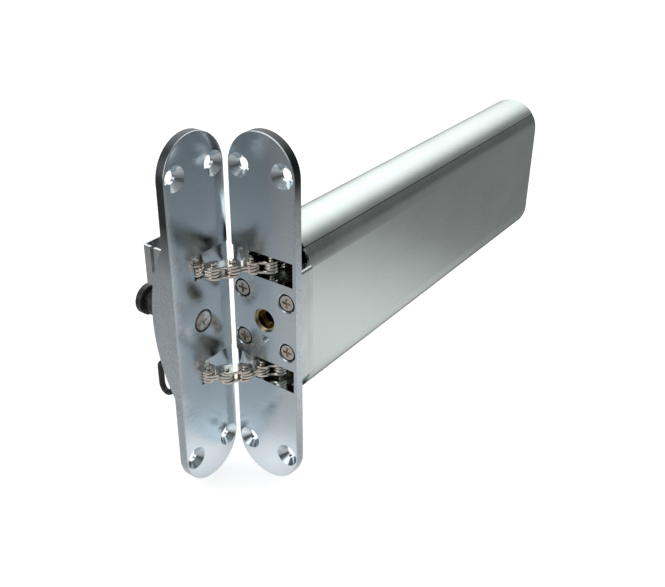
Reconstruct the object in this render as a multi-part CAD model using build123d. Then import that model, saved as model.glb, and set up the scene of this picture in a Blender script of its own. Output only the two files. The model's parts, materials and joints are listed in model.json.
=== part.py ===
from build123d import *
import os
from math import cos, radians, sin

# Concealed chain door closer, millimetres.
# The door plate and its spring body are let into the edge of a door, the anchor plate into the
# frame beside it, and two leaf chains join them.
# The origin is the centre of the door plate's front face. X runs across that plate, with the inner
# edge, next to the anchor plate, at minus X. Y runs along the body, into the door. Z is up.

# Both plates
plate_height = 168.0
plate_width = 34.0
plate_thickness = 4.3
plate_edge_round = 0.4
fixing_inset_x = 6.0
fixing_inset_z = 16.0
fixing_hole_radius = 2.75
fixing_cone_radius = 5.4

# Chain slots and the shallow dishes round them
slot_centre_z = 25.95
slot_height = 11.1
slot_outer_x = 15.6
ramp_lip = 1.0
ramp_edge_land = 1.3
ramp_radius = 7.5
passage_outer_x = 9.6
dish_radius = 76.0
dish_tilt = 5.4
door_dish_depth = 0.8
anchor_dish_depth = 1.5

# Anchor plate, in its own frame: across, depth behind its face, height
anchor_face_x = -20.8
anchor_centre_y = -15.2
anchor_slot_near = -4.0
anchor_slot_far = 5.3
anchor_ramp_deep = 4.0
anchor_ramp_shallow = 0.6
bulge_radius = 77.0
bulge_depth = 13.5
bulge_centre_z = 3.0
pad_half_width = 9.5
pad_edge_margin = 2.6
upper_pad_depth = 13.0
lower_pad_depth = 10.6
pad_corner_round = 1.5

# Leaf chains
chain_pitch = 8.3
chain_drop = 1.2
link_end_radius = 3.5
link_waist = 2.7
link_waist_radius = 3.2
link_plate_thickness = 1.35
link_plate_gap = 0.1
pin_radius = 1.45
pin_running_clearance = 0.05
pin_press_clearance = 0.01
pin_overhang = 1.05
pin_end_chamfer = 0.25
end_pin_across = -0.4
upper_end_pin_depth = 2.6
lower_end_pin_depth = -0.5
upper_directions = (14.0, 54.0, 58.0, 40.0, 100.0)
lower_directions = (30.0, 51.0, 63.0, 45.0, 110.0)
anchor_pin_bite = 1.6

# Screws in the door plate
plate_screw_x = 11.95
plate_screw_z = 12.1
plate_screw_mouth = 4.6
plate_screw_sink = 0.45
plate_screw_shank = 2.0
plate_screw_end_y = 10.6
cross_width = 1.1
cross_reach = 2.3
cross_depth = 1.7

# Head casting behind the door plate
neck_length = 7.5
neck_half_height = 26.5
neck_corner_round = 1.2
core_half_width = 13.4
core_half_height = 37.0
spigot_length = 12.2
spigot_clearance = 0.05

# Body tube
tube_half_width = 15.85
tube_half_height = 40.4
tube_wall = 1.4
tube_length = 224.7
tube_rear_round = 0.6
seam_angle = 35.5
seam_width = 0.35
seam_depth = 0.25

# Power adjuster and the preload plate that it moves
bore_radius = 5.6
adjuster_head_radius = 5.45
adjuster_head_front = 1.2
adjuster_shoulder_y = 13.0
adjuster_seat_gap = 0.1
adjuster_shank_radius = 4.0
adjuster_thread_clearance = 0.05
adjuster_reach = 9.0
hex_socket_radius = 3.4
hex_socket_depth = 7.0
lining_radius = 4.5
lining_depth = 3.4
clip_ring_radius = 6.2
clip_ring_thickness = 1.0
preload_front_gap = 5.0
preload_thickness = 4.0
preload_boss_radius = 7.0
preload_boss_length = 5.0
window_half_width = 8.0
window_half_height = 5.5
window_round = 2.5
slide_clearance = 0.5

# Springs and crosshead
spring_outer_radius = 12.3
spring_wire_width = 3.2
spring_wire_height = 3.4
spring_turns = 6.5
spring_length = 66.0
spring_end_gap = 0.15
crosshead_thickness = 8.0
crosshead_waist_radius = 26.0
crosshead_waist_bite = 4.0
rod_window_half_width = 6.5
rod_window_half_height = 2.9

# Draw rods
clevis_cheek = 2.1
clevis_back = 5.2
clevis_throat_clearance = 0.25
clevis_block_length = 4.0
rod_radius = 2.5
nut_gap = 2.0
washer_radius = 7.0
washer_thickness = 1.2
nut_radius = 4.6
nut_length = 4.0
rod_tail = 1.6

# Hydraulic check: cylinder, gland, piston
cylinder_radius = 13.5
cylinder_bore = 10.0
cylinder_front_gap = 34.0
cylinder_end_wall = 8.0
gland_length = 12.0
gland_flange = 8.0
gland_clearance = 0.05
seal_width = 2.6
seal_height = 2.2
piston_rod_radius = 4.0
piston_rod_clearance = 0.05
piston_rod_nut_radius = 6.6
piston_rod_nut_length = 4.0
piston_lead = 6.0
piston_length = 11.0
piston_clearance = 0.1
ring_width = 2.0
ring_depth = 1.2
ring_lift = 0.04

# Closing speed screw
speed_x = 0.3
speed_z = -9.2
speed_hole_radius = 1.9
speed_head_radius = 1.8
speed_head_front = 1.4
speed_head_length = 4.5
speed_shank_radius = 1.3
speed_shank_clearance = 0.2
speed_tip_depth = 6.0
speed_slot_width = 0.5
speed_slot_depth = 0.8

# End cap
cap_recess = 0.6
cap_length = 12.0
cap_socket_depth = 8.0
cap_edge_round = 1.0
cap_groove_width = 1.5

# Fittings behind the anchor plate
anchor_screw_across = -0.5
anchor_screw_head = 5.3
anchor_screw_shank = 2.5
anchor_screw_length = 36.4
spool_flange_radius = 7.2
spool_neck_radius = 5.0
spool_collar_radius = 6.5
spool_sleeve_radius = 4.2
spool_stand_off = 0.2
spool_sleeve_length = 10.5
spool_collar_length = 3.0
spool_neck_length = 4.2
spool_flange_length = 3.0
bracket_half_width = 8.0
bracket_sheet = 1.2
bracket_back_depth = 26.0
bracket_low_z = 13.5
bracket_high_z = 32.0
bracket_fold_round = 2.0
bracket_foot_bite = 1.5
bracket_groove_clearance = 0.05
bracket_notch_depth = 20.0
bracket_notch_width = 2.0
bracket_notch_low_z = 20.0
hook_wire_radius = 1.4
hook_across = -8.0
hook_socket_clearance = 0.05
hook_route = ((7.0, -25.4), (21.6, -25.4), (21.6, -37.6), (19.3, -42.0), (16.1, -39.4))
hook_bends = (2.4, 5.0, 2.6)

# Reach of cutting tools past a surface
past = 1.0

# Worked out from the sizes above
fixing_x = plate_width / 2 - fixing_inset_x
fixing_z = plate_height / 2 - fixing_inset_z
inner_edge_x = -plate_width / 2
ramp_centre_x = inner_edge_x + ramp_edge_land
ramp_foot_x = ramp_centre_x + ramp_radius
ramp_foot_y = ramp_lip + ramp_radius
neck_rear_y = plate_thickness + neck_length
spigot_rear_y = neck_rear_y + spigot_length
tube_rear_y = neck_rear_y + tube_length
bore_half_width = tube_half_width - tube_wall
bore_half_height = tube_half_height - tube_wall
spring_centre_radius = spring_outer_radius - spring_wire_width / 2
preload_front_y = spigot_rear_y + clip_ring_thickness + preload_front_gap
preload_rear_y = preload_front_y + preload_thickness
crosshead_front_y = preload_rear_y + spring_length + 2 * spring_end_gap
crosshead_rear_y = crosshead_front_y + crosshead_thickness
cylinder_front_y = crosshead_rear_y + cylinder_front_gap
gland_front_y = cylinder_front_y - gland_flange
cap_rear_y = tube_rear_y - cap_recess
cap_front_y = cap_rear_y - cap_length
cylinder_rear_y = cap_front_y + cap_socket_depth
cylinder_bore_end_y = cylinder_rear_y - cylinder_end_wall
piston_front_y = cylinder_front_y + gland_length + piston_lead
piston_rear_y = piston_front_y + piston_length
middle_plate_outer = link_plate_gap / 2 + link_plate_thickness
outer_plate_inner = middle_plate_outer + link_plate_gap
outer_plate_outer = outer_plate_inner + link_plate_thickness
clevis_outer = outer_plate_inner + clevis_cheek
pin_half_length = outer_plate_outer + pin_overhang
upper_chain_z = slot_centre_z - chain_drop
lower_chain_z = -slot_centre_z - chain_drop
anchor_place = Location((anchor_face_x, anchor_centre_y, 0), (0, 0, 90))


# Helpers

def obround(half_width, half_height):
    """Upright X and Z outline with full round ends."""
    return SlotOverall(2 * half_height, 2 * half_width, rotation=90)


def lengthwise(outline, near, far):
    """Solid of an X and Z outline, from one depth to another."""
    return extrude(Plane.XZ.offset(-far) * outline, far - near)


def bar(radius, near, far, x=0.0, z=0.0):
    """Round bar along Y."""
    return lengthwise(Pos(x, z) * Circle(radius), near, far)


def upright(outline, low, high):
    """Solid of an X and Y outline, from one height to another."""
    return Pos(0, 0, low) * extrude(outline, high - low)


def turned(outline, x=0.0, z=0.0):
    """Solid turned about a line along Y, from points of radius and depth."""
    return Pos(x, 0, z) * revolve(make_face(Polyline(*outline, close=True)), Axis.Y)


def at_corners(piece, x, z):
    """Four copies of a piece, at plus and minus x and z."""
    return [Pos(side * x, 0, level * z) * piece for side in (-1, 1) for level in (-1, 1)]


def cross_recess(front):
    """Cross-shaped driver recess in a screw head whose flat front lies at this depth."""
    arm = Pos(0, front + (cross_depth - past) / 2, 0) * Box(2 * cross_reach, cross_depth + past, cross_width)
    return arm + Rot(0, 90, 0) * arm


# Both plates

def bare_plate():
    """Plate with round ends, eased front edge and four countersunk fixing holes."""
    plate = lengthwise(obround(plate_width / 2, plate_height / 2), 0, plate_thickness)
    plate = fillet(plate.faces().sort_by(Axis.Y)[0].edges(), plate_edge_round)
    hole = turned([(0, -past), (fixing_cone_radius + past, -past),
                   (fixing_hole_radius, fixing_cone_radius - fixing_hole_radius),
                   (fixing_hole_radius, plate_thickness + past), (0, plate_thickness + past)])
    return plate - at_corners(hole, fixing_x, fixing_z)


def dish(side, depth, level):
    """Tool for the shallow hollow by a slot, deepest at the inner edge on the given side."""
    scoop = Rot(0, 0, side * dish_tilt) * Rot(0, 90, 0) * Cylinder(dish_radius, plate_width)
    return Pos(side * plate_width / 2, depth - dish_radius, level) * scoop


# Door plate and head

def passage_plan():
    """Plan of a chain passage: rounded ramp on its inner side, slanted wall on the outer."""
    start = (inner_edge_x - past, -past)
    crown = (ramp_centre_x, ramp_lip)
    shoulder = (ramp_centre_x + ramp_radius * sin(radians(45)),
                ramp_lip + ramp_radius * (1 - cos(radians(45))))
    foot = (ramp_foot_x, ramp_foot_y)
    rear = spigot_rear_y + past
    walls = [Polyline(start, (slot_outer_x, -past), (slot_outer_x, plate_thickness),
                      (passage_outer_x, neck_rear_y), (passage_outer_x, rear), (ramp_foot_x, rear), foot),
             ThreePointArc(foot, shoulder, crown),
             Polyline(crown, (inner_edge_x - past, ramp_lip), start)]
    return make_face(walls)


def passages():
    """Tools for both chain passages through the door plate and the head."""
    plan = passage_plan()
    return [upright(plan, level - slot_height / 2, level + slot_height / 2)
            for level in (-slot_centre_z, slot_centre_z)]


def screw_seat():
    """Countersunk hole for one of the screws that hold the plate to the head."""
    hole = plate_screw_shank + pin_press_clearance
    return turned([(0, -past), (plate_screw_mouth + past, -past), (hole, plate_screw_mouth - hole),
                   (hole, plate_screw_end_y + past), (0, plate_screw_end_y + past)])


def face_plate():
    plate = bare_plate() - passages()
    plate -= [dish(-1, door_dish_depth, level) for level in (-slot_centre_z, slot_centre_z)]
    plate -= at_corners(screw_seat(), plate_screw_x, plate_screw_z)
    return plate - bar(bore_radius, -past, plate_thickness + past) - bar(
        speed_hole_radius, -past, plate_thickness + past, speed_x, speed_z)


def plate_screws():
    """Four countersunk screws with cross recesses."""
    head = plate_screw_mouth - plate_screw_sink
    screw = turned([(0, plate_screw_sink), (head, plate_screw_sink),
                    (plate_screw_shank, plate_screw_mouth - plate_screw_shank),
                    (plate_screw_shank, plate_screw_end_y), (0, plate_screw_end_y)])
    return Part() + at_corners(screw - cross_recess(plate_screw_sink), plate_screw_x, plate_screw_z)


def front_head():
    """Casting behind the door plate: square neck, rounded core and spigot inside the tube."""
    neck = lengthwise(Rectangle(plate_width, 2 * neck_half_height), plate_thickness, neck_rear_y)
    neck = fillet(neck.edges().filter_by(Axis.Y), neck_corner_round)
    core = lengthwise(obround(core_half_width, core_half_height), plate_thickness, neck_rear_y)
    spigot = lengthwise(obround(bore_half_width - spigot_clearance, bore_half_height - spigot_clearance),
                        neck_rear_y, spigot_rear_y)
    head = neck + core + spigot - passages()
    head -= at_corners(screw_seat(), plate_screw_x, plate_screw_z)
    head -= bar(bore_radius, 0, adjuster_shoulder_y)
    head -= bar(adjuster_shank_radius + adjuster_thread_clearance, 0, spigot_rear_y + past)
    head -= bar(speed_hole_radius, 0, speed_head_front + speed_head_length + adjuster_seat_gap, speed_x, speed_z)
    return head - bar(speed_shank_radius + speed_shank_clearance, 0, spigot_rear_y + past, speed_x, speed_z)


# Body

def body_tube():
    """Drawn tube with a lock seam along its upper rounding."""
    shell = lengthwise(obround(tube_half_width, tube_half_height), neck_rear_y, tube_rear_y)
    shell = fillet(shell.faces().sort_by(Axis.Y)[-1].edges(), tube_rear_round)
    shell -= lengthwise(obround(bore_half_width, bore_half_height), neck_rear_y - past, tube_rear_y + past)
    groove = Pos(tube_half_width, 0, 0) * Box(2 * seam_depth, tube_length - 2 * tube_rear_round, seam_width)
    rounding_centre = tube_half_height - tube_half_width
    middle = neck_rear_y + tube_length / 2
    return shell - Pos(0, middle, rounding_centre) * Rot(0, -seam_angle, 0) * groove


def end_cap():
    """Plug in the rear of the tube, with a socket for the cylinder and a pressed panel line."""
    cap = lengthwise(obround(bore_half_width - spigot_clearance, bore_half_height - spigot_clearance),
                     cap_front_y, cap_rear_y)
    cap = fillet(cap.faces().sort_by(Axis.Y)[-1].edges(), cap_edge_round)
    cap -= bar(cylinder_radius + gland_clearance, cap_front_y - past, cylinder_rear_y)
    inset = 3 * cap_groove_width
    line = obround(bore_half_width - inset, bore_half_height - inset) - obround(
        bore_half_width - inset - cap_groove_width, bore_half_height - inset - cap_groove_width)
    return cap - lengthwise(line, cap_rear_y - cap_recess, cap_rear_y + past)


# Power adjuster

def power_adjuster():
    """Brass adjusting screw: socketed head in the bore, threaded shank through the preload plate."""
    head_rear = adjuster_shoulder_y - adjuster_seat_gap
    screw = turned([(0, adjuster_head_front + lining_depth), (lining_radius, adjuster_head_front + lining_depth),
                    (lining_radius, adjuster_head_front), (adjuster_head_radius, adjuster_head_front),
                    (adjuster_head_radius, head_rear), (adjuster_shank_radius, head_rear),
                    (adjuster_shank_radius, preload_rear_y + adjuster_reach),
                    (0, preload_rear_y + adjuster_reach)])
    socket_front = adjuster_head_front + lining_depth
    socket = lengthwise(RegularPolygon(hex_socket_radius, 6), socket_front - past, socket_front + hex_socket_depth)
    return screw - socket


def adjuster_clip():
    """Retaining ring behind the head, which keeps the power adjuster from coming forward."""
    front = spigot_rear_y + adjuster_seat_gap
    return bar(clip_ring_radius, front, front + clip_ring_thickness) - bar(
        adjuster_shank_radius + pin_press_clearance, front - past, front + clip_ring_thickness + past)


def preload_plate():
    """Spring seat that the power adjuster draws along, with a window for each clevis."""
    plate = lengthwise(obround(bore_half_width - slide_clearance, bore_half_height - slide_clearance),
                       preload_front_y, preload_rear_y)
    plate += bar(preload_boss_radius, preload_front_y, preload_rear_y + preload_boss_length)
    window = lengthwise(RectangleRounded(2 * window_half_width, 2 * window_half_height, window_round),
                        preload_front_y - past, preload_rear_y + past)
    plate -= [Pos(0, 0, level) * window for level in (-slot_centre_z, slot_centre_z)]
    plate -= bar(adjuster_shank_radius + adjuster_thread_clearance, preload_front_y - past,
                 preload_rear_y + preload_boss_length + past)
    return plate - bar(speed_shank_radius + speed_shank_clearance, preload_front_y - past,
                       preload_rear_y + preload_boss_length + past, speed_x, speed_z)


# Springs, crosshead and piston

def spring(level):
    """Compression spring of square wire between the preload plate and the crosshead."""
    near = preload_rear_y + spring_end_gap + spring_wire_height / 2
    far = crosshead_front_y - spring_end_gap - spring_wire_height / 2
    coil = Helix((far - near) / spring_turns, far - near, spring_centre_radius)
    section = Plane(origin=coil @ 0, x_dir=(1, 0, 0), z_dir=coil % 0)
    wire = sweep(section * Rectangle(spring_wire_width, spring_wire_height), path=coil, is_frenet=True)
    return Pos(0, near, level) * Rot(-90, 0, 0) * wire


def crosshead():
    """Cross member that the springs push and both draw rods pull."""
    bar_outline = obround(bore_half_width - slide_clearance, bore_half_height - slide_clearance)
    waist = crosshead_waist_radius + bore_half_width - slide_clearance - crosshead_waist_bite
    bar_outline -= [Pos(side * waist, 0) * Circle(crosshead_waist_radius) for side in (-1, 1)]
    head = lengthwise(bar_outline, crosshead_front_y, crosshead_rear_y)
    window = lengthwise(RectangleRounded(2 * rod_window_half_width, 2 * rod_window_half_height, rod_radius),
                        crosshead_front_y - past, crosshead_rear_y + past)
    head -= [Pos(0, 0, level) * window for level in (lower_chain_z, upper_chain_z)]
    head -= bar(piston_rod_radius + pin_press_clearance, crosshead_front_y - past, crosshead_rear_y + past)
    return head - bar(speed_shank_radius + speed_shank_clearance, crosshead_front_y - past,
                      crosshead_rear_y + past, speed_x, speed_z)


def piston_rod():
    """Rod from the crosshead to the piston, held by a shoulder and a nut."""
    nut_front = crosshead_front_y - piston_rod_nut_length
    rod = bar(piston_rod_radius, nut_front - rod_tail, piston_rear_y)
    nut = lengthwise(RegularPolygon(piston_rod_nut_radius, 6), nut_front, crosshead_front_y)
    return rod + nut


def piston():
    """Check piston with a groove for its ring."""
    outer = cylinder_bore - piston_clearance
    middle = (piston_front_y + piston_rear_y) / 2
    root = cylinder_bore - ring_depth - ring_lift
    body = turned([(piston_rod_radius + pin_press_clearance, piston_front_y), (outer, piston_front_y),
                   (outer, middle - ring_width / 2), (root, middle - ring_width / 2),
                   (root, middle + ring_width / 2), (outer, middle + ring_width / 2),
                   (outer, piston_rear_y), (piston_rod_radius + pin_press_clearance, piston_rear_y)])
    return body


def piston_ring():
    middle = (piston_front_y + piston_rear_y) / 2
    width = ring_width - 2 * ring_lift
    outer = cylinder_bore - ring_lift
    inner = cylinder_bore - ring_depth
    return bar(outer, middle - width / 2, middle + width / 2) - bar(inner, middle - ring_width, middle + ring_width)


def damper_cylinder():
    """Oil cylinder, closed at the rear, open at the front for the gland."""
    return turned([(cylinder_bore, cylinder_front_y), (cylinder_radius, cylinder_front_y),
                   (cylinder_radius, cylinder_rear_y), (0, cylinder_rear_y),
                   (0, cylinder_bore_end_y), (cylinder_bore, cylinder_bore_end_y)])


def damper_gland():
    """Gland in the cylinder's mouth, bored for the piston rod, the seal and the speed screw."""
    gland = bar(cylinder_radius, gland_front_y, cylinder_front_y)
    gland += bar(cylinder_bore - gland_clearance, cylinder_front_y, cylinder_front_y + gland_length)
    gland -= bar(piston_rod_radius + piston_rod_clearance, gland_front_y - past,
                 cylinder_front_y + gland_length + past)
    gland -= bar(piston_rod_radius + seal_height, gland_front_y - past, gland_front_y + seal_width)
    return gland - bar(speed_shank_radius + pin_running_clearance, gland_front_y - past,
                       gland_front_y + speed_tip_depth + pin_running_clearance, speed_x, speed_z)


def gland_seal():
    rear = gland_front_y + seal_width - pin_press_clearance
    outer = piston_rod_radius + seal_height - pin_press_clearance
    return bar(outer, gland_front_y, rear) - bar(piston_rod_radius + piston_rod_clearance, gland_front_y - past,
                                                 rear + past)


def speed_screw():
    """Closing speed screw: slotted head in the plate, long spindle to the gland."""
    head_rear = speed_head_front + speed_head_length
    tip = gland_front_y + speed_tip_depth
    screw = turned([(0, speed_head_front), (speed_head_radius, speed_head_front),
                    (speed_head_radius, head_rear), (speed_shank_radius, head_rear),
                    (speed_shank_radius, tip - speed_shank_radius), (0, tip)])
    slot = Box(2 * speed_head_radius + past, 2 * speed_slot_depth, speed_slot_width)
    return Pos(speed_x, 0, speed_z) * (screw - Pos(0, speed_head_front, 0) * slot)


# Chains

def joints_of(end_pin_depth, directions):
    """Pin centres in plan, from the end pin at the anchor to the clevis."""
    at = Vector(anchor_face_x - end_pin_depth, anchor_centre_y + end_pin_across)
    centres = [at]
    for turn in directions:
        at = at + Vector(chain_pitch, 0).rotate(Axis.Z, turn)
        centres.append(at)
    return centres


def link_outline(hole_radius):
    """Waisted figure-of-eight outline along X, with its first hole at the origin."""
    outline = Pos(chain_pitch / 2, 0) * SlotCenterToCenter(chain_pitch, 2 * link_end_radius)
    notch = link_waist + link_waist_radius
    outline -= [Pos(chain_pitch / 2, side * notch) * Circle(link_waist_radius) for side in (-1, 1)]
    return outline - [Pos(end, 0) * Circle(hole_radius) for end in (0, chain_pitch)]


def inner_link():
    """Two plates side by side, which turn on the pins."""
    plate = upright(link_outline(pin_radius + pin_running_clearance), link_plate_gap / 2, middle_plate_outer)
    return plate + mirror(plate, Plane.XY)


def outer_link():
    """Two plates, above and below the inner ones, pressed on the pins."""
    plate = upright(link_outline(pin_radius + pin_press_clearance), outer_plate_inner, outer_plate_outer)
    return plate + mirror(plate, Plane.XY)


def chain_pin():
    pin = upright(Circle(pin_radius), -pin_half_length, pin_half_length)
    return chamfer(pin.edges().filter_by(GeomType.CIRCLE), pin_end_chamfer)


def along(link, start, turn, level):
    """A link laid from a pin centre in the given direction."""
    return Location((start.X, start.Y, level), (0, 0, turn)) * link


def chain_nodes(name, end_pin_depth, directions, level):
    """Every node of one chain, from the end link in the anchor to the draw rod."""
    centres = joints_of(end_pin_depth, directions)
    back = Vector(centres[0].X - chain_pitch, centres[0].Y)
    nodes = {f"{name}_end_link": along(outer_link(), back, 0, level)}
    nodes[f"{name}_end_pin"] = along(chain_pin(), centres[0], 0, level)
    for number, turn in enumerate(directions, start=1):
        link = inner_link() if number % 2 else outer_link()
        nodes[f"{name}_link_{number}"] = along(link, centres[number - 1], turn, level)
        if number % 2 == 0:
            pins = [along(chain_pin(), centre, 0, level) for centre in centres[number - 1:number + 1]]
            nodes[f"{name}_pins_{number}"] = Part() + pins
    clevis_at = centres[-1]
    nodes[f"{name}_rod_pin"] = along(chain_pin(), clevis_at, 0, level)
    nodes[f"{name}_draw_rod"] = Pos(clevis_at.X, 0, level) * draw_rod(clevis_at.Y)
    nodes[f"{name}_rod_nut"] = Pos(clevis_at.X, 0, level) * rod_nut()
    return nodes


def draw_rod(clevis_y):
    """Forked rod end over the last link, and the rod back through the crosshead."""
    throat_end = clevis_y + link_end_radius + clevis_throat_clearance
    block_end = clevis_y + clevis_back + clevis_block_length
    cheeks = Pos(0, clevis_y) * Circle(link_end_radius)
    cheeks += Pos(0, (clevis_y + block_end) / 2) * Rectangle(2 * link_end_radius, block_end - clevis_y)
    fork = upright(cheeks, -clevis_outer, clevis_outer)
    fork -= Pos(0, (clevis_y - link_end_radius + throat_end) / 2, 0) * Box(
        2 * link_end_radius + past, throat_end - clevis_y + link_end_radius, 2 * outer_plate_inner)
    fork -= Pos(0, clevis_y, 0) * Cylinder(pin_radius + pin_press_clearance, 3 * clevis_outer)
    rod_end = crosshead_rear_y + nut_gap + washer_thickness + nut_length + rod_tail
    return fork + bar(rod_radius, block_end - past, rod_end)


def rod_nut():
    """Washer and nut behind the crosshead."""
    front = crosshead_rear_y + nut_gap
    nut_front = front + washer_thickness
    bored = bar(rod_radius + pin_press_clearance, front - past, nut_front + nut_length + past)
    nut = lengthwise(RegularPolygon(nut_radius, 6), nut_front, nut_front + nut_length)
    return bar(washer_radius, front, nut_front) + nut - bored


# Anchor plate and what is on it, made in the anchor's own frame

def anchor_bulge():
    """Rounded back of the anchor casting, across its full width."""
    centre_depth = bulge_depth - bulge_radius
    side_view = Pos(centre_depth, bulge_centre_z) * Circle(bulge_radius)
    front_part = plate_thickness / 2
    side_view -= Pos(front_part - bulge_radius, bulge_centre_z) * Rectangle(2 * bulge_radius, 3 * bulge_radius)
    return extrude(Plane.YZ * side_view, plate_width / 2, both=True)


def anchor_pad(level, depth):
    """Boss round the back of a chain slot, which holds the anchor pin."""
    height = slot_height + 2 * pad_edge_margin
    pad = lengthwise(RectangleRounded(2 * pad_half_width, height, pad_corner_round), plate_thickness / 2, depth)
    return Pos(0, 0, level) * pad


def anchor_slot(level):
    """Tool for a chain slot right through the casting, with its sloping run-out to the inner edge."""
    edge = plate_width / 2 + past
    slope = (anchor_ramp_deep - anchor_ramp_shallow) / (plate_width / 2 - anchor_slot_far)
    plan = make_face(Polyline((anchor_slot_near, -past), (edge, -past),
                              (edge, anchor_ramp_shallow - slope * past), (anchor_slot_far, anchor_ramp_deep),
                              (anchor_slot_far, upper_pad_depth + past),
                              (anchor_slot_near, upper_pad_depth + past), close=True))
    return upright(plan, level - slot_height / 2, level + slot_height / 2)


def anchor_pin_bar(depth, level, radius, bite):
    """Upright pin across a slot, reaching into the casting above and below it."""
    half = slot_height / 2 + bite
    return Pos(end_pin_across, depth, level) * Cylinder(radius, 2 * half)


def hook_path():
    """Centre line of the wire hook, in depth and height."""
    return Plane.YZ * FilletPolyline(*hook_route, radius=list(hook_bends))


def wire_hook():
    path = Pos(hook_across, 0, 0) * hook_path()
    return sweep(Plane(origin=path @ 0, z_dir=path % 0) * Circle(hook_wire_radius), path=path)


def hook_socket():
    depth, height = hook_route[0]
    return bar(hook_wire_radius + hook_socket_clearance, depth, upper_pad_depth + past, hook_across, height)


def bracket_section(half_width, back_depth, corner):
    """Plan of the bracket's outer or inner outline, open towards the plate."""
    front = upper_pad_depth - bracket_foot_bite
    outline = Pos(0, (front + back_depth) / 2) * Rectangle(2 * half_width, back_depth - front)
    rear_corners = outline.vertices().group_by(Axis.Y)[-1]
    return fillet(rear_corners, corner)


def chain_clip():
    """Folded sheet box over the back of the upper slot, open at the top and the bottom."""
    outer = bracket_section(bracket_half_width, bracket_back_depth, bracket_fold_round)
    inner = bracket_section(bracket_half_width - bracket_sheet, bracket_back_depth - bracket_sheet,
                            bracket_fold_round - bracket_sheet)
    box = upright(outer - inner, bracket_low_z, bracket_high_z)
    notch_height = bracket_high_z - bracket_notch_low_z + past
    notch = Box(3 * bracket_half_width, bracket_notch_width, notch_height)
    return box - Pos(0, bracket_notch_depth, bracket_notch_low_z + notch_height / 2) * notch


def bracket_grooves():
    """Grooves in the upper pad that the bracket's feet are pressed into."""
    width = bracket_sheet + 2 * bracket_groove_clearance
    bite = bracket_foot_bite + bracket_groove_clearance
    groove = Box(width, bite + past, bracket_high_z - bracket_low_z + 2 * bracket_groove_clearance)
    level = (bracket_high_z + bracket_low_z) / 2
    middle = upper_pad_depth + (past - bite) / 2
    offset = bracket_half_width - bracket_sheet / 2
    return [Pos(side * offset, middle, level) * groove for side in (-1, 1)]


def anchor_plate():
    """Anchor casting: plate, rounded back, pads, slots and the seats of what it carries."""
    casting = bare_plate() + anchor_bulge()
    casting += anchor_pad(slot_centre_z, upper_pad_depth)
    casting += anchor_pad(-slot_centre_z, lower_pad_depth)
    casting -= [anchor_slot(level) for level in (-slot_centre_z, slot_centre_z)]
    casting -= [dish(1, anchor_dish_depth, level) for level in (-slot_centre_z, slot_centre_z)]
    hole = anchor_screw_shank + pin_running_clearance
    mouth = anchor_screw_head + pin_running_clearance
    casting -= turned([(0, -past), (mouth + past, -past), (hole, mouth - hole),
                       (hole, bulge_depth + past), (0, bulge_depth + past)], anchor_screw_across)
    pin_hole = pin_radius + pin_press_clearance
    bite = anchor_pin_bite + pin_press_clearance
    casting -= anchor_pin_bar(upper_end_pin_depth + chain_pitch, slot_centre_z, pin_hole, bite)
    casting -= anchor_pin_bar(lower_end_pin_depth + chain_pitch, -slot_centre_z, pin_hole, bite)
    return casting - bracket_grooves() - hook_socket()


def anchor_pins():
    """Pins across the slots of the anchor casting, one for each end link."""
    upper = anchor_pin_bar(upper_end_pin_depth + chain_pitch, slot_centre_z, pin_radius, anchor_pin_bite)
    lower = anchor_pin_bar(lower_end_pin_depth + chain_pitch, -slot_centre_z, pin_radius, anchor_pin_bite)
    return upper + lower


def anchor_screw():
    """Countersunk adjusting screw through the anchor plate."""
    screw = turned([(0, 0), (anchor_screw_head, 0), (anchor_screw_shank, anchor_screw_head - anchor_screw_shank),
                    (anchor_screw_shank, anchor_screw_length), (0, anchor_screw_length)])
    return Pos(anchor_screw_across, 0, 0) * (screw - cross_recess(0))


def spool_nut():
    """Black spool on the end of the anchor screw."""
    bored = anchor_screw_shank + pin_press_clearance
    sleeve = bulge_depth + spool_stand_off
    collar = sleeve + spool_sleeve_length
    neck = collar + spool_collar_length
    flange = neck + spool_neck_length
    end = flange + spool_flange_length
    return turned([(bored, sleeve), (spool_sleeve_radius, sleeve), (spool_sleeve_radius, collar),
                   (spool_collar_radius, collar), (spool_collar_radius, neck), (spool_neck_radius, neck),
                   (spool_neck_radius, flange), (spool_flange_radius, flange), (spool_flange_radius, end),
                   (bored, end)], anchor_screw_across)


def anchored(piece):
    """A piece made in the anchor's own frame, moved to where the anchor stands."""
    return anchor_place * piece


def all_nodes():
    nodes = {
        "face_plate": face_plate(),
        "plate_screws": plate_screws(),
        "front_head": front_head(),
        "body_tube": body_tube(),
        "end_cap": end_cap(),
        "power_adjuster": power_adjuster(),
        "adjuster_clip": adjuster_clip(),
        "preload_plate": preload_plate(),
        "upper_spring": spring(slot_centre_z),
        "lower_spring": spring(-slot_centre_z),
        "crosshead": crosshead(),
        "piston_rod": piston_rod(),
        "piston": piston(),
        "piston_ring": piston_ring(),
        "damper_cylinder": damper_cylinder(),
        "damper_gland": damper_gland(),
        "gland_seal": gland_seal(),
        "speed_screw": speed_screw(),
        "anchor_plate": anchored(anchor_plate()),
        "anchor_pins": anchored(anchor_pins()),
        "anchor_screw": anchored(anchor_screw()),
        "spool_nut": anchored(spool_nut()),
        "chain_clip": anchored(chain_clip()),
        "wire_hook": anchored(wire_hook()),
    }
    nodes.update(chain_nodes("upper", upper_end_pin_depth, upper_directions, upper_chain_z))
    nodes.update(chain_nodes("lower", lower_end_pin_depth, lower_directions, lower_chain_z))
    return nodes


os.makedirs("parts", exist_ok=True)
for node_name, node_shape in all_nodes().items():
    export_step(node_shape, f"parts/{node_name}.step")
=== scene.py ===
import bmesh
import bpy
import json
from math import cos, radians, sin
from mathutils import Euler, Matrix, Vector


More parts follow.
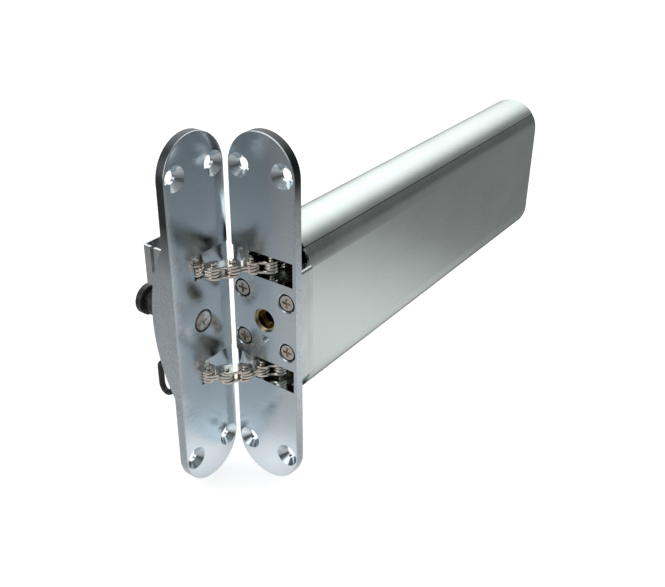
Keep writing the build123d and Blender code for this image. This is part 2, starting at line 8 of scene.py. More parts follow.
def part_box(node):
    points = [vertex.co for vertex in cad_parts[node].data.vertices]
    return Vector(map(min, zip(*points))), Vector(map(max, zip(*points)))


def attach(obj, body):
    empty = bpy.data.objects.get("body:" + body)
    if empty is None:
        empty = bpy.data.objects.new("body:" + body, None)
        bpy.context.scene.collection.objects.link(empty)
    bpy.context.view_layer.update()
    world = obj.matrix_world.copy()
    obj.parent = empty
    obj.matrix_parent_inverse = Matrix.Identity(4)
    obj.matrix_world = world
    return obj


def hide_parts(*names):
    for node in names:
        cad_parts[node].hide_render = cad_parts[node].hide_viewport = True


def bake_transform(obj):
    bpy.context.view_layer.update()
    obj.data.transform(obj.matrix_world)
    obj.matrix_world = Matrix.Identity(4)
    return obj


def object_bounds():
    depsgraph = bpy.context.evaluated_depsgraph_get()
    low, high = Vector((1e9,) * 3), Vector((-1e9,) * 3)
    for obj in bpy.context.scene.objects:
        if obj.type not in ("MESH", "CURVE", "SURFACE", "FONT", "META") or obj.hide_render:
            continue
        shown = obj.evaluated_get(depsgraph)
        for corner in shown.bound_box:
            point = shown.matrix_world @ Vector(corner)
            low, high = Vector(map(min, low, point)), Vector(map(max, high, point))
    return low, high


# The looks of a concealed chain door closer: bright plates, satin body tube, warm chain links,
# black fittings behind the anchor plate, in a plain white studio. Lengths are in metres, apart
# from those of the plates, which are in millimetres.

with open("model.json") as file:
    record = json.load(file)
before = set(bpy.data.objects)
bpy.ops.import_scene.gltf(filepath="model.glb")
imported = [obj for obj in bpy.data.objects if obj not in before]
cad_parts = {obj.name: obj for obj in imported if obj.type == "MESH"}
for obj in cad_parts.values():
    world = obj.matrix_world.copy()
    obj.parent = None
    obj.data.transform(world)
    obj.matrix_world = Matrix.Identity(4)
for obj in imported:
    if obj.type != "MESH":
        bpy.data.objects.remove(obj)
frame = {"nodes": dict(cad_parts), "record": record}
cad_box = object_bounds()
nodes = frame["nodes"]

# Camera
camera_place = (0.20705, -0.24505, 0.19025)
camera_heading = 37.6
camera_pitch = -28.17
camera_roll = -0.53
camera_lens = 47.05
camera_shift = (0.0520, -0.0176)
nearest_seen = 0.01

# Studio: what the floor and the room show to the metal, as shares of white; the floor's glows are
# painted pools of light
floor_gap = 0.0002
floor_size = 6.0
floor_colour = 0.8
floor_white = 0.55
room_light = 0.85
side_glow_centre = (0.095, 0.115)
side_glow = ((0.0, 0.84), (0.05, 0.75), (0.09, 0.58), (0.13, 0.40), (0.17, 0.22), (0.22, 0.20),
             (0.6, 0.20))
front_glow_centre = (-0.005, -0.010)
front_glow = ((0.0, 0.95), (0.012, 0.82), (0.024, 0.56), (0.05, 0.46), (0.14, 0.43), (0.28, 0.28),
              (0.42, 0.18))
horizon_steps = ((0.0, 0.08), (0.22, 0.10), (0.34, 0.09), (0.50, 0.20), (0.70, 0.24), (1.0, 0.40))
card_aim = (-0.25, -0.92, 0.28)
card_steps = ((0.80, 0.0), (0.86, 0.80), (0.95, 1.30))
softbox_aim = (-0.45, 0.55, 0.70)
softbox_steps = ((0.42, 0.0), (0.62, 0.14), (0.76, 0.70), (0.86, 1.05), (1.0, 1.25))

# Plates, in millimetres: across and depth in each plate's own plan, as in the CAD
millimetres = 1000
plate_half_width = 17.0
edge_round = 0.4
edge_steps = (0, 15, 30, 45, 60, 75, 90)
slot_levels = (-25.95, 25.95)
slot_half_height = 5.55
anchor_face_x = -20.8
anchor_centre_y = -15.2
ramp_start = (5.3, 4.0)
ramp_end = (17.0, 0.6)
ramp_fill_length = 3.5
ramp_fill_overlap = 0.2
door_fill = {"reach": 11.5, "bottom": 1.6, "height": 14.0}
anchor_fill = {"reach": 17.6, "bottom": 2.3, "height": 16.0}
seat_mouth_radius = 4.62
seat_hole_radius = 2.02
seat_overlap = 1.0
seat_sides = 64

# Clean-up of the changed plates: lengths in metres and angles in degrees
weld_before = 1e-6
weld_after = 2e-6
flat_angle = 0.5
sharp_angle = 25

# Places that the materials and springs go by
slot_centre = 0.02595
chain_drop = 0.0012
link_step = 0.00145
plate_screw_place = (0.01195, 0.0121)
anchor_screw_place = -0.0157
spring_room = 0.0005
seam_height = 0.03375
outline_radius = 0.01662
outline_centre = 0.067
wall_front = 0.00035
neck_half_height = 0.0266
tube_mouth = 0.0119

# Tint and bump by place: ramps are read in coarse steps, so short lengths are scaled up for them
wall_scale = 10.0
# Painted shade on the plates' side walls, darker towards the top
door_wall_steps = ((0.54, 0.0), (0.66, 0.93))
anchor_wall_steps = ((0.24, 0.0), (0.50, 0.90))
speckle_steps = ((0.40, 0.20), (0.60, 0.0))
wall_roughness = 0.22
wall_facing = 0.5
screw_scale = 100.0
# The rim steps paint shade round the rims of the screw heads
anchor_rim_steps = ((0.41, 0.0), (0.44, 0.9))
plate_rim_steps = ((0.335, 1.0), (0.355, 0.0))
plate_dish_steps = ((0.0, 0.6), (0.2, 0.75), (0.335, 1.0), (0.36, 0.0))
dish_widening = 2.2
socket_scale = 100.0
# Painted shade inside the brass socket, darker with depth
socket_steps = ((0.14, 0.0), (0.30, 0.45), (0.60, 0.86))
seam_scale = 1000.0
seam_steps = ((0.0, 1.0), (0.14, 0.95), (0.28, 0.0))
underside_scale = -20.0
# Painted shade along the tube's underside
underside_steps = ((0.60, 0.0), (0.66, 0.9))
mouth_steps = ((0.012, 0.8), (0.04, 0.45), (0.075, 0.0))
# Painted shade in the gaps between the chain's link plates
link_gap_steps = ((0.0, 0.0), (0.05, 0.0), (0.12, 1.0), (0.88, 1.0), (0.95, 0.0), (1.0, 0.0))
link_dome_steps = ((0.0, 0.0), (0.14, 0.62), (0.32, 0.93), (0.5, 1.0), (0.68, 0.93), (0.86, 0.62),
                   (1.0, 0.0))

# Noise: directions that it is stretched along, its middle and the ranges read from it
even = (1, 1, 1)
upright = (1, 1, 0.04)
lengthways = (1, 0.03, 1)
crossways = (0.03, 0.03, 1)
noise_middle = 0.5
usual_range = (0.3, 0.7)
coat_range = (0.35, 0.65)
whole_range = (0.0, 1.0)

# Noises: direction, scale and detail
slow_cloud = (even, 60.0, 4.0)
slow_waves = (even, 45.0, 2.0)
fine_cloud = (even, 300.0, 4.0)
brush_lines = (crossways, 3500.0, 3.0)
brush_cloud = (even, 90.0, 3.0)
cast_speckle = (even, 1500.0, 3.0)
cast_grain = (upright, 700.0, 2.0)
link_cloud = (even, 500.0, 3.0)
bowl_cloud = (even, 900.0, 3.0)
screw_cloud = (even, 700.0, 4.0)
tube_grain = (lengthways, 900.0, 2.0)
tube_cloud = ((1, 0.6, 1), 45.0, 2.0)
tube_marks = ((0.2, 1, 0.05), 160.0, 2.0)
brush_share = 0.5
tube_cloud_share = 0.7

# Bumps: strength, and depth in metres
wave_depth = 0.0004
grain_depth = 0.00005
coat_bump = (0.3, grain_depth)
pit_bump = (0.3, 0.0001)
brush_bump = (1.0, 0.00004)
dome_bump = (1.0, 0.00022)
bowl_bump = (1.0, 0.0006)
dish_bump = (0.8, 0.0003)
cast_wave_bump = (0.2, wave_depth)
cast_grain_bump = (0.4, grain_depth)
tube_wave_bump = (0.015, wave_depth)
tube_grain_bump = (0.06, grain_depth)

# Plain metals: dark and light tint, range of roughness, direction and scale of the grain,
# strength of the waves and of the grain
plain_metals = {
    "screw": ((0.80, 0.80, 0.77), (0.92, 0.91, 0.88), (0.07, 0.14), even, 500.0, 0.25, 0.1),
    "machined": ((0.50, 0.51, 0.52), (0.62, 0.63, 0.64), (0.25, 0.4), even, 600.0, 0.1, 0.3),
    "spring": ((0.26, 0.26, 0.28), (0.38, 0.38, 0.40), (0.3, 0.45), even, 500.0, 0.1, 0.3),
    "sheet": ((0.64, 0.65, 0.66), (0.76, 0.77, 0.78), (0.2, 0.32), upright, 700.0, 0.2, 0.3),
}

# Metals with painted shade: dark and light tint, range of roughness, tint of the painted shade (on
# the plate's wall it also tints the speckle, and on the tube the seam line)
shaded_metals = {
    "plate": ((0.68, 0.76, 0.81), (0.78, 0.86, 0.92), (0.09, 0.16), (0.02, 0.022, 0.022)),
    "anchor_screw": ((0.84, 0.84, 0.80), (0.96, 0.95, 0.91), (0.08, 0.16), (0.03, 0.03, 0.03)),
    "casting": ((0.60, 0.66, 0.65), (0.74, 0.79, 0.78), (0.24, 0.36), (0.012, 0.012, 0.012)),
    "brass": ((0.56, 0.42, 0.20), (0.80, 0.66, 0.38), (0.14, 0.26), (0.035, 0.022, 0.008)),
    "tube": ((0.66, 0.74, 0.71), (0.77, 0.84, 0.81), (0.24, 0.33), (0.03, 0.033, 0.03)),
}

# Metals with painted shade in their gaps and rims: darkest tint, which is the painted shade,
# lightest tint, range of roughness, range of the lit metal's share
gap_shade_metals = {
    "chain": ((0.012, 0.010, 0.009), (0.95, 0.89, 0.80), (0.10, 0.20), (0.86, 1.0)),
    "plate_screws": ((0.010, 0.010, 0.010), (0.80, 0.74, 0.68), (0.16, 0.30), (0.80, 1.0)),
}

# Coats: dark and light tint, range of roughness
coats = {
    "seal": ((0.02, 0.02, 0.02), (0.05, 0.05, 0.05), (0.6, 0.75)),
    "black": ((0.010, 0.010, 0.011), (0.030, 0.029, 0.028), (0.28, 0.42)),
}


# Node helpers

def new_material(name, metallic=1.0):
    """Empty material with a Principled shader, and its tree."""
    material = bpy.data.materials.new(name)
    material.use_nodes = True
    tree = material.node_tree
    shader = tree.nodes["Principled BSDF"]
    shader.inputs["Metallic"].default_value = metallic
    return material, tree, shader


def connect(tree, shader, colour, roughness, normal):
    tree.links.new(colour, shader.inputs["Base Color"])
    tree.links.new(roughness, shader.inputs["Roughness"])
    tree.links.new(normal, shader.inputs["Normal"])


def math_node(tree, operation, *values):
    """Maths node fed by sockets or plain numbers."""
    node = tree.nodes.new("ShaderNodeMath")
    node.operation = operation
    for socket, value in zip(node.inputs, values):
        if isinstance(value, (int, float)):
            socket.default_value = value
        else:
            tree.links.new(value, socket)
    return node.outputs["Value"]


def product(tree, first, second):
    return math_node(tree, "MULTIPLY", first, second)


def total(tree, first, second):
    return math_node(tree, "ADD", first, second)


def difference(tree, first, second):
    return math_node(tree, "SUBTRACT", first, second)


def mixed(tree, first, share, second):
    """Share of the first value with the rest of the second."""
    return total(tree, product(tree, first, share), product(tree, second, 1.0 - share))


def distance_off(tree, first, second):
    """Straight distance made up of two distances at right angles."""
    squares = [math_node(tree, "POWER", value, 2.0) for value in (first, second)]
    return math_node(tree, "SQRT", total(tree, *squares))


def ramp(tree, steps, factor, interpolation="LINEAR"):
    """Colour ramp from pairs of position and grey level or colour."""
    node = tree.nodes.new("ShaderNodeValToRGB")
    node.color_ramp.interpolation = interpolation
    stops = node.color_ramp.elements
    while len(stops) < len(steps):
        stops.new(0.5)
    for stop, (position, value) in zip(stops, steps):
        stop.position = position
        stop.color = (*value, 1.0) if isinstance(value, tuple) else (value, value, value, 1.0)
    tree.links.new(factor, node.inputs["Fac"])
    return node.outputs["Color"]


def spread(tree, low, high, factor, ends=usual_range):
    """Grey level or colour that follows a noise from low to high."""
    return ramp(tree, tuple(zip(ends, (low, high))), factor)


def shaded(tree, light, dark, share):
    """A colour turned to a darker one by a share."""
    blend = tree.nodes.new("ShaderNodeMix")
    blend.data_type = "RGBA"
    tree.links.new(share, blend.inputs["Factor"])
    tree.links.new(light, blend.inputs["A"])
    blend.inputs["B"].default_value = (*dark, 1.0)
    return blend.outputs["Result"]


def separated(tree, vector):
    parts = tree.nodes.new("ShaderNodeSeparateXYZ")
    tree.links.new(vector, parts.inputs["Vector"])
    return parts.outputs["X"], parts.outputs["Y"], parts.outputs["Z"]


def object_axes(tree):
    return separated(tree, tree.nodes.new("ShaderNodeTexCoord").outputs["Object"])


def facing_up(tree):
    """How far a surface faces up or down, from nought on upright walls."""
    normal = tree.nodes.new("ShaderNodeNewGeometry").outputs["Normal"]
    return math_node(tree, "ABSOLUTE", separated(tree, normal)[2])


def noise(tree, stretch, scale, detail):
    """Noise in object coordinates stretched along each axis."""
    source = tree.nodes.new("ShaderNodeTexCoord")
    mapping = tree.nodes.new("ShaderNodeMapping")
    mapping.inputs["Scale"].default_value = stretch
    tree.links.new(source.outputs["Object"], mapping.inputs["Vector"])
    node = tree.nodes.new("ShaderNodeTexNoise")
    node.inputs["Scale"].default_value = scale
    node.inputs["Detail"].default_value = detail
    tree.links.new(mapping.outputs["Vector"], node.inputs["Vector"])
    return node.outputs["Fac"]


def bump(tree, height, strength, distance, normal=None):
    node = tree.nodes.new("ShaderNodeBump")
    node.inputs["Strength"].default_value = strength
    node.inputs["Distance"].default_value = distance
    tree.links.new(height, node.inputs["Height"])
    if normal is not None:
        tree.links.new(normal, node.inputs["Normal"])
    return node.outputs["Normal"]


# Studio

def add_camera():
    data = bpy.data.cameras.new("camera")
    data.lens = camera_lens
    data.shift_x, data.shift_y = camera_shift
    data.clip_start = nearest_seen
    camera = bpy.data.objects.new("camera", data)
    camera.location = camera_place
    aim = Euler((radians(90 + camera_pitch), 0, radians(camera_heading))).to_matrix()
    camera.rotation_euler = (aim @ Matrix.Rotation(radians(camera_roll), 3, "Z")).to_euler()
    bpy.context.scene.collection.objects.link(camera)
    bpy.context.scene.camera = camera


def rays_of(tree):
    """Whether a ray is the camera's own, and whether metal or glass sees the room by it."""
    rays = tree.nodes.new("ShaderNodeLightPath")
    seen = math_node(tree, "MAXIMUM", rays.outputs["Is Glossy Ray"],
                     rays.outputs["Is Transmission Ray"])
    return rays.outputs["Is Camera Ray"], seen


def vector_node(tree, operation, socket, constant):
    """Number from a vector socket and a constant vector."""
    node = tree.nodes.new("ShaderNodeVectorMath")
    node.operation = operation
    node.inputs[1].default_value = constant
    tree.links.new(socket, node.inputs[0])
    return node.outputs["Value"]


def lit_patch(tree, direction, aim, steps):
    """Share of white round one direction of the room."""
    towards = vector_node(tree, "DOT_PRODUCT", direction, Vector(aim).normalized())
    return ramp(tree, steps, towards)


def glow(tree, place, level, centre, steps):
    """Share of white in a painted pool of light round a patch of the floor."""
    return ramp(tree, steps, vector_node(tree, "DISTANCE", place, (*centre, level)))


def add_world():
    """Room: white behind the object, and to the metal a dim horizon, a softbox and a front card."""
    world = bpy.data.worlds.new("studio")
    bpy.context.scene.world = world
    world.use_nodes = True
    tree = world.node_tree
    tree.nodes.clear()
    direction = tree.nodes.new("ShaderNodeTexCoord").outputs["Generated"]
    horizon = ramp(tree, horizon_steps, separated(tree, direction)[2])
    softbox = lit_patch(tree, direction, softbox_aim, softbox_steps)
    card = lit_patch(tree, direction, card_aim, card_steps)
    room = total(tree, horizon, math_node(tree, "MAXIMUM", softbox, card))
    camera_ray, metal_ray = rays_of(tree)
    plain = product(tree, difference(tree, 1.0, metal_ray), room_light)
    share = total(tree, product(tree, metal_ray, room), plain)
    white = tree.nodes.new("ShaderNodeBackground")
    white.inputs["Color"].default_value = (1, 1, 1, 1)
    tree.links.new(math_node(tree, "MAXIMUM", camera_ray, share), white.inputs["Strength"])
    output = tree.nodes.new("ShaderNodeOutputWorld")
    tree.links.new(white.outputs["Background"], output.inputs["Surface"])


def floor_material(level):
    """White that keeps the object's soft shadow, with painted pools of light where metal mirrors
    it.
    """
    material = bpy.data.materials.new("floor")
    material.use_nodes = True
    tree = material.node_tree
    tree.nodes.clear()
    source = tree.nodes.new("ShaderNodeTexCoord").outputs["Object"]
    side = glow(tree, source, level, side_glow_centre, side_glow)
    front = glow(tree, source, level, front_glow_centre, front_glow)
    camera_ray, metal_ray = rays_of(tree)
    metal_share = product(tree, metal_ray, math_node(tree, "MAXIMUM", side, front))
    camera_share = product(tree, camera_ray, floor_white)
    white = tree.nodes.new("ShaderNodeEmission")
    tree.links.new(total(tree, metal_share, camera_share), white.inputs["Strength"])
    matt = tree.nodes.new("ShaderNodeBsdfDiffuse")
    shade = product(tree, difference(tree, 1.0, metal_ray), floor_colour)
    tree.links.new(shade, matt.inputs["Color"])
    both = tree.nodes.new("ShaderNodeAddShader")
    tree.links.new(white.outputs["Emission"], both.inputs[0])
    tree.links.new(matt.outputs["BSDF"], both.inputs[1])
    output = tree.nodes.new("ShaderNodeOutputMaterial")
    tree.links.new(both.outputs["Shader"], output.inputs["Surface"])
    return material


def add_floor():
    level = cad_box[0].z - floor_gap
    half = floor_size / 2
    mesh = bpy.data.meshes.new("floor")
    plan = ((-half, -half), (half, -half), (half, half), (-half, half))
    mesh.from_pydata([(x, y, level) for x, y in plan], [], [(0, 1, 2, 3)])
    mesh.materials.append(floor_material(level))
    floor = bpy.data.objects.new("floor", mesh)
    bpy.context.scene.collection.objects.link(floor)


# Plates with a flat front right up to the edge

def on_door(across, depth, level):
    return Vector((across, depth, level)) / millimetres


def on_anchor(across, depth, level):
    return Vector((anchor_face_x - depth, anchor_centre_y + across, level)) / millimetres


def between_rings(corners):
    """Closed solid from two rings with the same number of corners, one after the other."""
    count = len(corners) // 2
    faces = [tuple(range(count)), tuple(reversed(range(count, 2 * count)))]
    for here in range(count):
        there = (here + 1) % count
        faces.append((there, here, here + count, there + count))
    return corners, faces


def prism(points, low, high, place):
    """Upright prism on a plan, with its corners put in the part's frame by place."""
    return between_rings([place(across, depth, level) for level in (low, high)
                          for across, depth in points])


def countersink(across, level, place):
    """Cone that keeps the seat of a plate screw open."""
    rings = ((seat_mouth_radius + seat_overlap, -seat_overlap),
             (seat_hole_radius, seat_mouth_radius - seat_hole_radius))
    turns = [radians(360 * index / seat_sides) for index in range(seat_sides)]
    return between_rings([place(across + radius * cos(turn), depth, level + radius * sin(turn))
                          for radius, depth in rings for turn in turns])


def eased_edge(side):
    """Points of the rounded front edge, from the plate's side wall to its front."""
    centre = plate_half_width - edge_round
    return [(side * (centre + edge_round * cos(step)), edge_round - edge_round * sin(step))
            for step in map(radians, edge_steps)]


def front_fill(side, place, reach, bottom, height):
    """Solid beside each slot, above and below it, that brings the front out flat to the edge."""
    inner = side * (plate_half_width - reach)
    plan = [(side * plate_half_width, bottom)] + eased_edge(side) + [(inner, 0.0), (inner, bottom)]
    made = []
    for level in slot_levels:
        made.append(prism(plan, level - height, level - slot_half_height, place))
        made.append(prism(plan, level + slot_half_height, level + height, place))
    return made


def ramp_fill(place):
    """Last stretch of the anchor slots' sloping floor, up to the edge."""
    slope = (ramp_start[1] - ramp_end[1]) / (ramp_end[0] - ramp_start[0])
    inner = ramp_end[0] - ramp_fill_length
    floor_there = ramp_end[1] + slope * (ramp_end[0] - inner)
    bottom = anchor_fill["bottom"]
    plan = [ramp_end, (inner, floor_there), (inner, bottom), (ramp_end[0], bottom)]
    reach = slot_half_height + ramp_fill_overlap
    return [prism(plan, level - reach, level + reach, place) for level in slot_levels]


def joined(name, solids):
    """One mesh object of several closed solids, with their faces turned outwards."""
    mesh = bpy.data.meshes.new(name)
    corners, faces = [], []
    for points, sides in solids:
        faces += [tuple(index + len(corners) for index in side) for side in sides]
        corners += points
    mesh.from_pydata(corners, [], faces)
    work = bmesh.new()
    work.from_mesh(mesh)
    bmesh.ops.recalc_face_normals(work, faces=work.faces)
    work.to_mesh(mesh)
    work.free()
    made = bpy.data.objects.new(name, mesh)
    bpy.context.scene.collection.objects.link(made)
    return made


def drop_normals(mesh):
    """Forget the stored corner normals, so that they follow the changed shape."""
    stored = mesh.attributes.get("custom_normal")
    if stored is not None:
        mesh.attributes.remove(stored)


def combined(plate, solids, operation):
    """Join closed solids on the plate's mesh or cut them out of it."""
    tool = joined(plate.name + "_tool", solids)
    change = plate.modifiers.new("change", "BOOLEAN")
    change.operation = operation
    change.solver = "EXACT"
    change.use_self = operation == "UNION"
    change.object = tool
    bpy.context.view_layer.update()
    changed = plate.evaluated_get(bpy.context.evaluated_depsgraph_get())
    plate.data = bpy.data.meshes.new_from_object(changed)
    plate.modifiers.clear()
    bpy.data.objects.remove(tool)


def weld(mesh, distance):
    work = bmesh.new()
    work.from_mesh(mesh)
    bmesh.ops.remove_doubles(work, verts=work.verts, dist=distance)
    work.to_mesh(mesh)
    work.free()


def clean_up(mesh):
    """Weld the cuts, merge what is flat and make triangles of it."""
    work = bmesh.new()
    work.from_mesh(mesh)
    bmesh.ops.remove_doubles(work, verts=work.verts, dist=weld_after)
    bmesh.ops.dissolve_degenerate(work, edges=work.edges, dist=weld_after)
    bmesh.ops.dissolve_limit(work, angle_limit=radians(flat_angle), verts=work.verts,
                             edges=work.edges)
    bmesh.ops.triangulate(work, faces=work.faces)
    work.to_mesh(mesh)
    work.free()
    drop_normals(mesh)
    mesh.shade_smooth()
    mesh.set_sharp_from_angle(angle=radians(sharp_angle))


def flat_plate(name, node, body, fills, seats=()):
    """Copy of a plate with its fills joined on, which stands for the CAD node."""
    plate = bpy.data.objects.new(name, nodes[node].data.copy())
    bpy.context.scene.collection.objects.link(plate)
    drop_normals(plate.data)
    weld(plate.data, weld_before)
    combined(plate, fills, "UNION")
    if seats:
        combined(plate, seats, "DIFFERENCE")
    clean_up(plate.data)
    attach(plate, body)
    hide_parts(node)
    return plate


def add_plates():
    seat_x, seat_z = (place * millimetres for place in plate_screw_place)
    seats = [countersink(-seat_x, side * seat_z, on_door) for side in (-1, 1)]
    door_fills = front_fill(-1, on_door, **door_fill)
    door = flat_plate("door_front", "face_plate", "closer", door_fills, seats)
    anchor_fills = front_fill(1, on_anchor, **anchor_fill) + ramp_fill(on_anchor)
    anchor = flat_plate("anchor_front", "anchor_plate", "anchor", anchor_fills)
    return door, anchor


# Springs

def add_springs():
    """Copies of the springs, shortened by a little room at one end, which stand for the CAD nodes.
    """
    made = []
    for side in ("upper", "lower"):
        node = side + "_spring"
        spring = bpy.data.objects.new(side + "_coil", nodes[node].data.copy())
        bpy.context.scene.collection.objects.link(spring)
        low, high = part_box(node)
        share = 1 - spring_room / (high.y - low.y)
        for point in spring.data.vertices:
            point.co.y = high.y - (high.y - point.co.y) * share
        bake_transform(spring)
        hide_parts(node)
        made.append(spring)
    return made


# Materials

def metal(name, dark, light, gloss, grain, grain_scale, wave_strength, grain_strength):
    """Metal whose tint, gloss and surface vary: fine grain along one way, slow waves over it."""
    material, tree, shader = new_material(name)
    cloud = noise(tree, *slow_cloud)
    lines = noise(tree, grain, grain_scale, 2.0)
    waves = bump(tree, noise(tree, *slow_waves), wave_strength, wave_depth)
    connect(tree, shader, spread(tree, dark, light, cloud), spread(tree, *gloss, lines),
            bump(tree, lines, grain_strength, grain_depth, waves))
    return material


def coated(name, dark, light, gloss):
    """Black oxide or rubber: not a bare metal, slightly uneven."""
    material, tree, shader = new_material(name, metallic=0.0)
    cloud = noise(tree, *fine_cloud)
    connect(tree, shader, spread(tree, dark, light, cloud, coat_range),
            spread(tree, *gloss, cloud), bump(tree, cloud, *coat_bump))
    return material


def outer_wall(tree, across, depth, height):
    """One on the side wall round a plate's outline, nought elsewhere."""
    above = math_node(tree, "MAXIMUM", difference(tree, height, outline_centre), 0.0)
    off_middle = distance_off(tree, across, above)
    outside = math_node(tree, "GREATER_THAN", off_middle, outline_radius)
    return product(tree, outside, math_node(tree, "GREATER_THAN", depth, wall_front))


def brushed_plate(name, is_anchor, wall_steps):
    """Bright plating with faint brush lines, and a speckled side wall with painted shade towards
    its top.
    """
    material, tree, shader = new_material(name)
    dark, light, gloss, shade = shaded_metals["plate"]
    across, depth, height = object_axes(tree)
    # The anchor plate is a quarter turn from the door plate, so its axes change places
    if is_anchor:
        across, depth = (difference(tree, depth, anchor_centre_y / millimetres),
                         difference(tree, anchor_face_x / millimetres, across))
    wall = outer_wall(tree, across, depth, height)
    # Painted shade: the side wall darkens towards its top; the speckle is the wall's own grain
    top = ramp(tree, wall_steps, product(tree, height, wall_scale))
    speckle = ramp(tree, speckle_steps, noise(tree, *cast_speckle))
    darkness = product(tree, wall, math_node(tree, "MAXIMUM", top, speckle))
    lines = noise(tree, *brush_lines)
    tone = mixed(tree, lines, brush_share, noise(tree, *brush_cloud))
    colour = shaded(tree, spread(tree, dark, light, tone), shade, darkness)
    roughness = total(tree, spread(tree, *gloss, tone), product(tree, wall, wall_roughness))
    connect(tree, shader, colour, roughness, bump(tree, lines, *brush_bump))
    return material


def laced_chain():
    """Polished link plates with rounded rims, and painted shade in the gaps between them."""
    material, tree, shader = new_material("chain")
    dark, light, gloss, lit_range = gap_shade_metals["chain"]
    height = object_axes(tree)[2]
    beside = math_node(tree, "ABSOLUTE", total(tree, height, chain_drop))
    off_middle = math_node(tree, "ABSOLUTE", difference(tree, beside, slot_centre))
    step = math_node(tree, "FRACT", math_node(tree, "DIVIDE", off_middle, link_step))
    wall = math_node(tree, "LESS_THAN", facing_up(tree), wall_facing)
    # Painted shade in the gaps between the link plates, on their walls
    gap = ramp(tree, link_gap_steps, step)
    unshaded = math_node(tree, "MAXIMUM", gap, difference(tree, 1.0, wall))
    cloud = noise(tree, *link_cloud)
    share = product(tree, unshaded, spread(tree, *lit_range, cloud))
    dome = ramp(tree, link_dome_steps, step, "B_SPLINE")
    connect(tree, shader, spread(tree, dark, light, share, whole_range),
            spread(tree, *gloss, cloud), bump(tree, product(tree, dome, wall), *dome_bump))
    return material


def dished_screw():
    """The anchor's screw: a bright dished head, with painted shade at its rim."""
    material, tree, shader = new_material("anchor_screw")
    dark, light, gloss, shade = shaded_metals["anchor_screw"]
    across, height = object_axes(tree)[1:]
    off_centre = distance_off(tree, difference(tree, across, anchor_screw_place), height)
    radius = product(tree, off_centre, screw_scale)
    cloud = noise(tree, *bowl_cloud)
    # Painted shade round the rim of the head
    rim = ramp(tree, anchor_rim_steps, radius)
    bowl = math_node(tree, "POWER", product(tree, radius, dish_widening), 2.0)
    connect(tree, shader, shaded(tree, spread(tree, dark, light, cloud), shade, rim),
            spread(tree, *gloss, cloud),
            bump(tree, cloud, *pit_bump, bump(tree, bowl, *bowl_bump)))
    return material


def ringed_screws():
    """Plate screws: warm grey heads, with a painted shadow at the rim where the head dips below its
    seat.
    """
    material, tree, shader = new_material("plate_screws")
    dark, light, gloss, lit_range = gap_shade_metals["plate_screws"]
    across, _, height = object_axes(tree)
    aside = difference(tree, math_node(tree, "ABSOLUTE", across), plate_screw_place[0])
    above = difference(tree, math_node(tree, "ABSOLUTE", height), plate_screw_place[1])
    radius = product(tree, distance_off(tree, aside, above), screw_scale)
    cloud = noise(tree, *screw_cloud)
    # Painted shadow round the rim of each head, where it dips below its seat
    share = product(tree, ramp(tree, plate_rim_steps, radius), spread(tree, *lit_range, cloud))
    connect(tree, shader, spread(tree, dark, light, share, whole_range),
            spread(tree, *gloss, cloud),
            bump(tree, ramp(tree, plate_dish_steps, radius), *dish_bump))
    return material


def shadowed_casting():
    """Casting that is dark above the neck, in the narrow room between the plate and the tube."""
    material, tree, shader = new_material("casting")
    dark, light, gloss, shade = shaded_metals["casting"]
    depth, height = object_axes(tree)[1:]
    cloud = noise(tree, *slow_cloud)
    above = product(tree, math_node(tree, "GREATER_THAN", height, neck_half_height),
                    math_node(tree, "LESS_THAN", depth, tube_mouth))
    lines = noise(tree, *cast_grain)
    connect(tree, shader, shaded(tree, spread(tree, dark, light, cloud), shade, above),
            spread(tree, *gloss, lines),
            bump(tree, lines, *cast_grain_bump, bump(tree, cloud, *cast_wave_bump)))
    return material


def deep_brass():
    """Brass with painted shade, darker towards the bottom of its socket."""
    material, tree, shader = new_material("brass")
    dark, light, gloss, shade = shaded_metals["brass"]
    cloud = noise(tree, *fine_cloud)
    # Painted shade: darker towards the bottom of the socket
    inside = ramp(tree, socket_steps, product(tree, object_axes(tree)[1], socket_scale))
    connect(tree, shader, shaded(tree, spread(tree, dark, light, cloud), shade, inside),
            spread(tree, *gloss, cloud), bump(tree, cloud, *pit_bump))
    return material


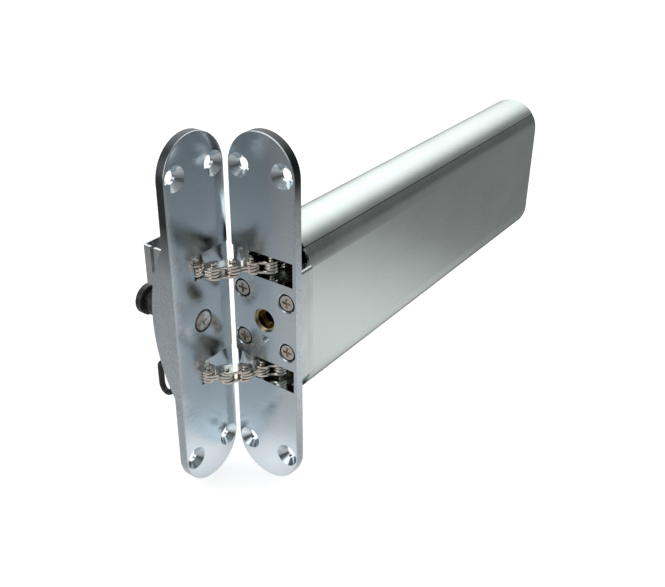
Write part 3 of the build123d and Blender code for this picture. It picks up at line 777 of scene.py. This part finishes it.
def satin_tube():
    """Drawn tube: satin skin with grain along it, marks near its mouth, a dark seam line, and
    painted shade on its underside.
    """
    material, tree, shader = new_material("tube")
    dark, light, gloss, shade = shaded_metals["tube"]
    across, depth, height = object_axes(tree)
    grain = noise(tree, *tube_grain)
    cloud = noise(tree, *tube_cloud)
    marks = difference(tree, noise(tree, *tube_marks), noise_middle)
    streaks = product(tree, marks, ramp(tree, mouth_steps, depth))
    tone = total(tree, mixed(tree, cloud, tube_cloud_share, grain), streaks)
    off_seam = math_node(tree, "ABSOLUTE", difference(tree, height, seam_height))
    seam = product(tree, ramp(tree, seam_steps, product(tree, off_seam, seam_scale)),
                   math_node(tree, "GREATER_THAN", across, 0.0))
    # Painted shade on the underside; the seam is a dark joint line
    underside = ramp(tree, underside_steps, product(tree, height, underside_scale))
    darkness = math_node(tree, "MAXIMUM", seam, underside)
    connect(tree, shader, shaded(tree, spread(tree, dark, light, tone), shade, darkness),
            spread(tree, *gloss, tone),
            bump(tree, grain, *tube_grain_bump, bump(tree, cloud, *tube_wave_bump)))
    return material


def materials():
    """Material of each slot in the record."""
    made = {name: metal(name, *recipe) for name, recipe in plain_metals.items()}
    made |= {name: coated(name, *recipe) for name, recipe in coats.items()}
    made["plate"] = brushed_plate("plate", False, door_wall_steps)
    made["casting"] = shadowed_casting()
    made["tube"] = satin_tube()
    made["chain"] = laced_chain()
    made["brass"] = deep_brass()
    return made


def dress(item, material):
    item.data.materials.clear()
    item.data.materials.append(material)


def dress_nodes(plates, springs):
    """Material of its slot for every CAD node; the pieces and two kinds of screw have their own."""
    made = materials()
    for part in frame["record"]["subparts"]:
        dress(nodes[part["node"]], made[part["material_slot"]])
    door, anchor = plates
    dress(door, made["plate"])
    dress(anchor, brushed_plate("anchor_plate", True, anchor_wall_steps))
    for spring in springs:
        dress(spring, made["spring"])
    dress(nodes["plate_screws"], ringed_screws())
    dress(nodes["anchor_screw"], dished_screw())


add_camera()
add_world()
add_floor()
dress_nodes(add_plates(), add_springs())
bpy.context.scene.view_settings.view_transform = "Standard"
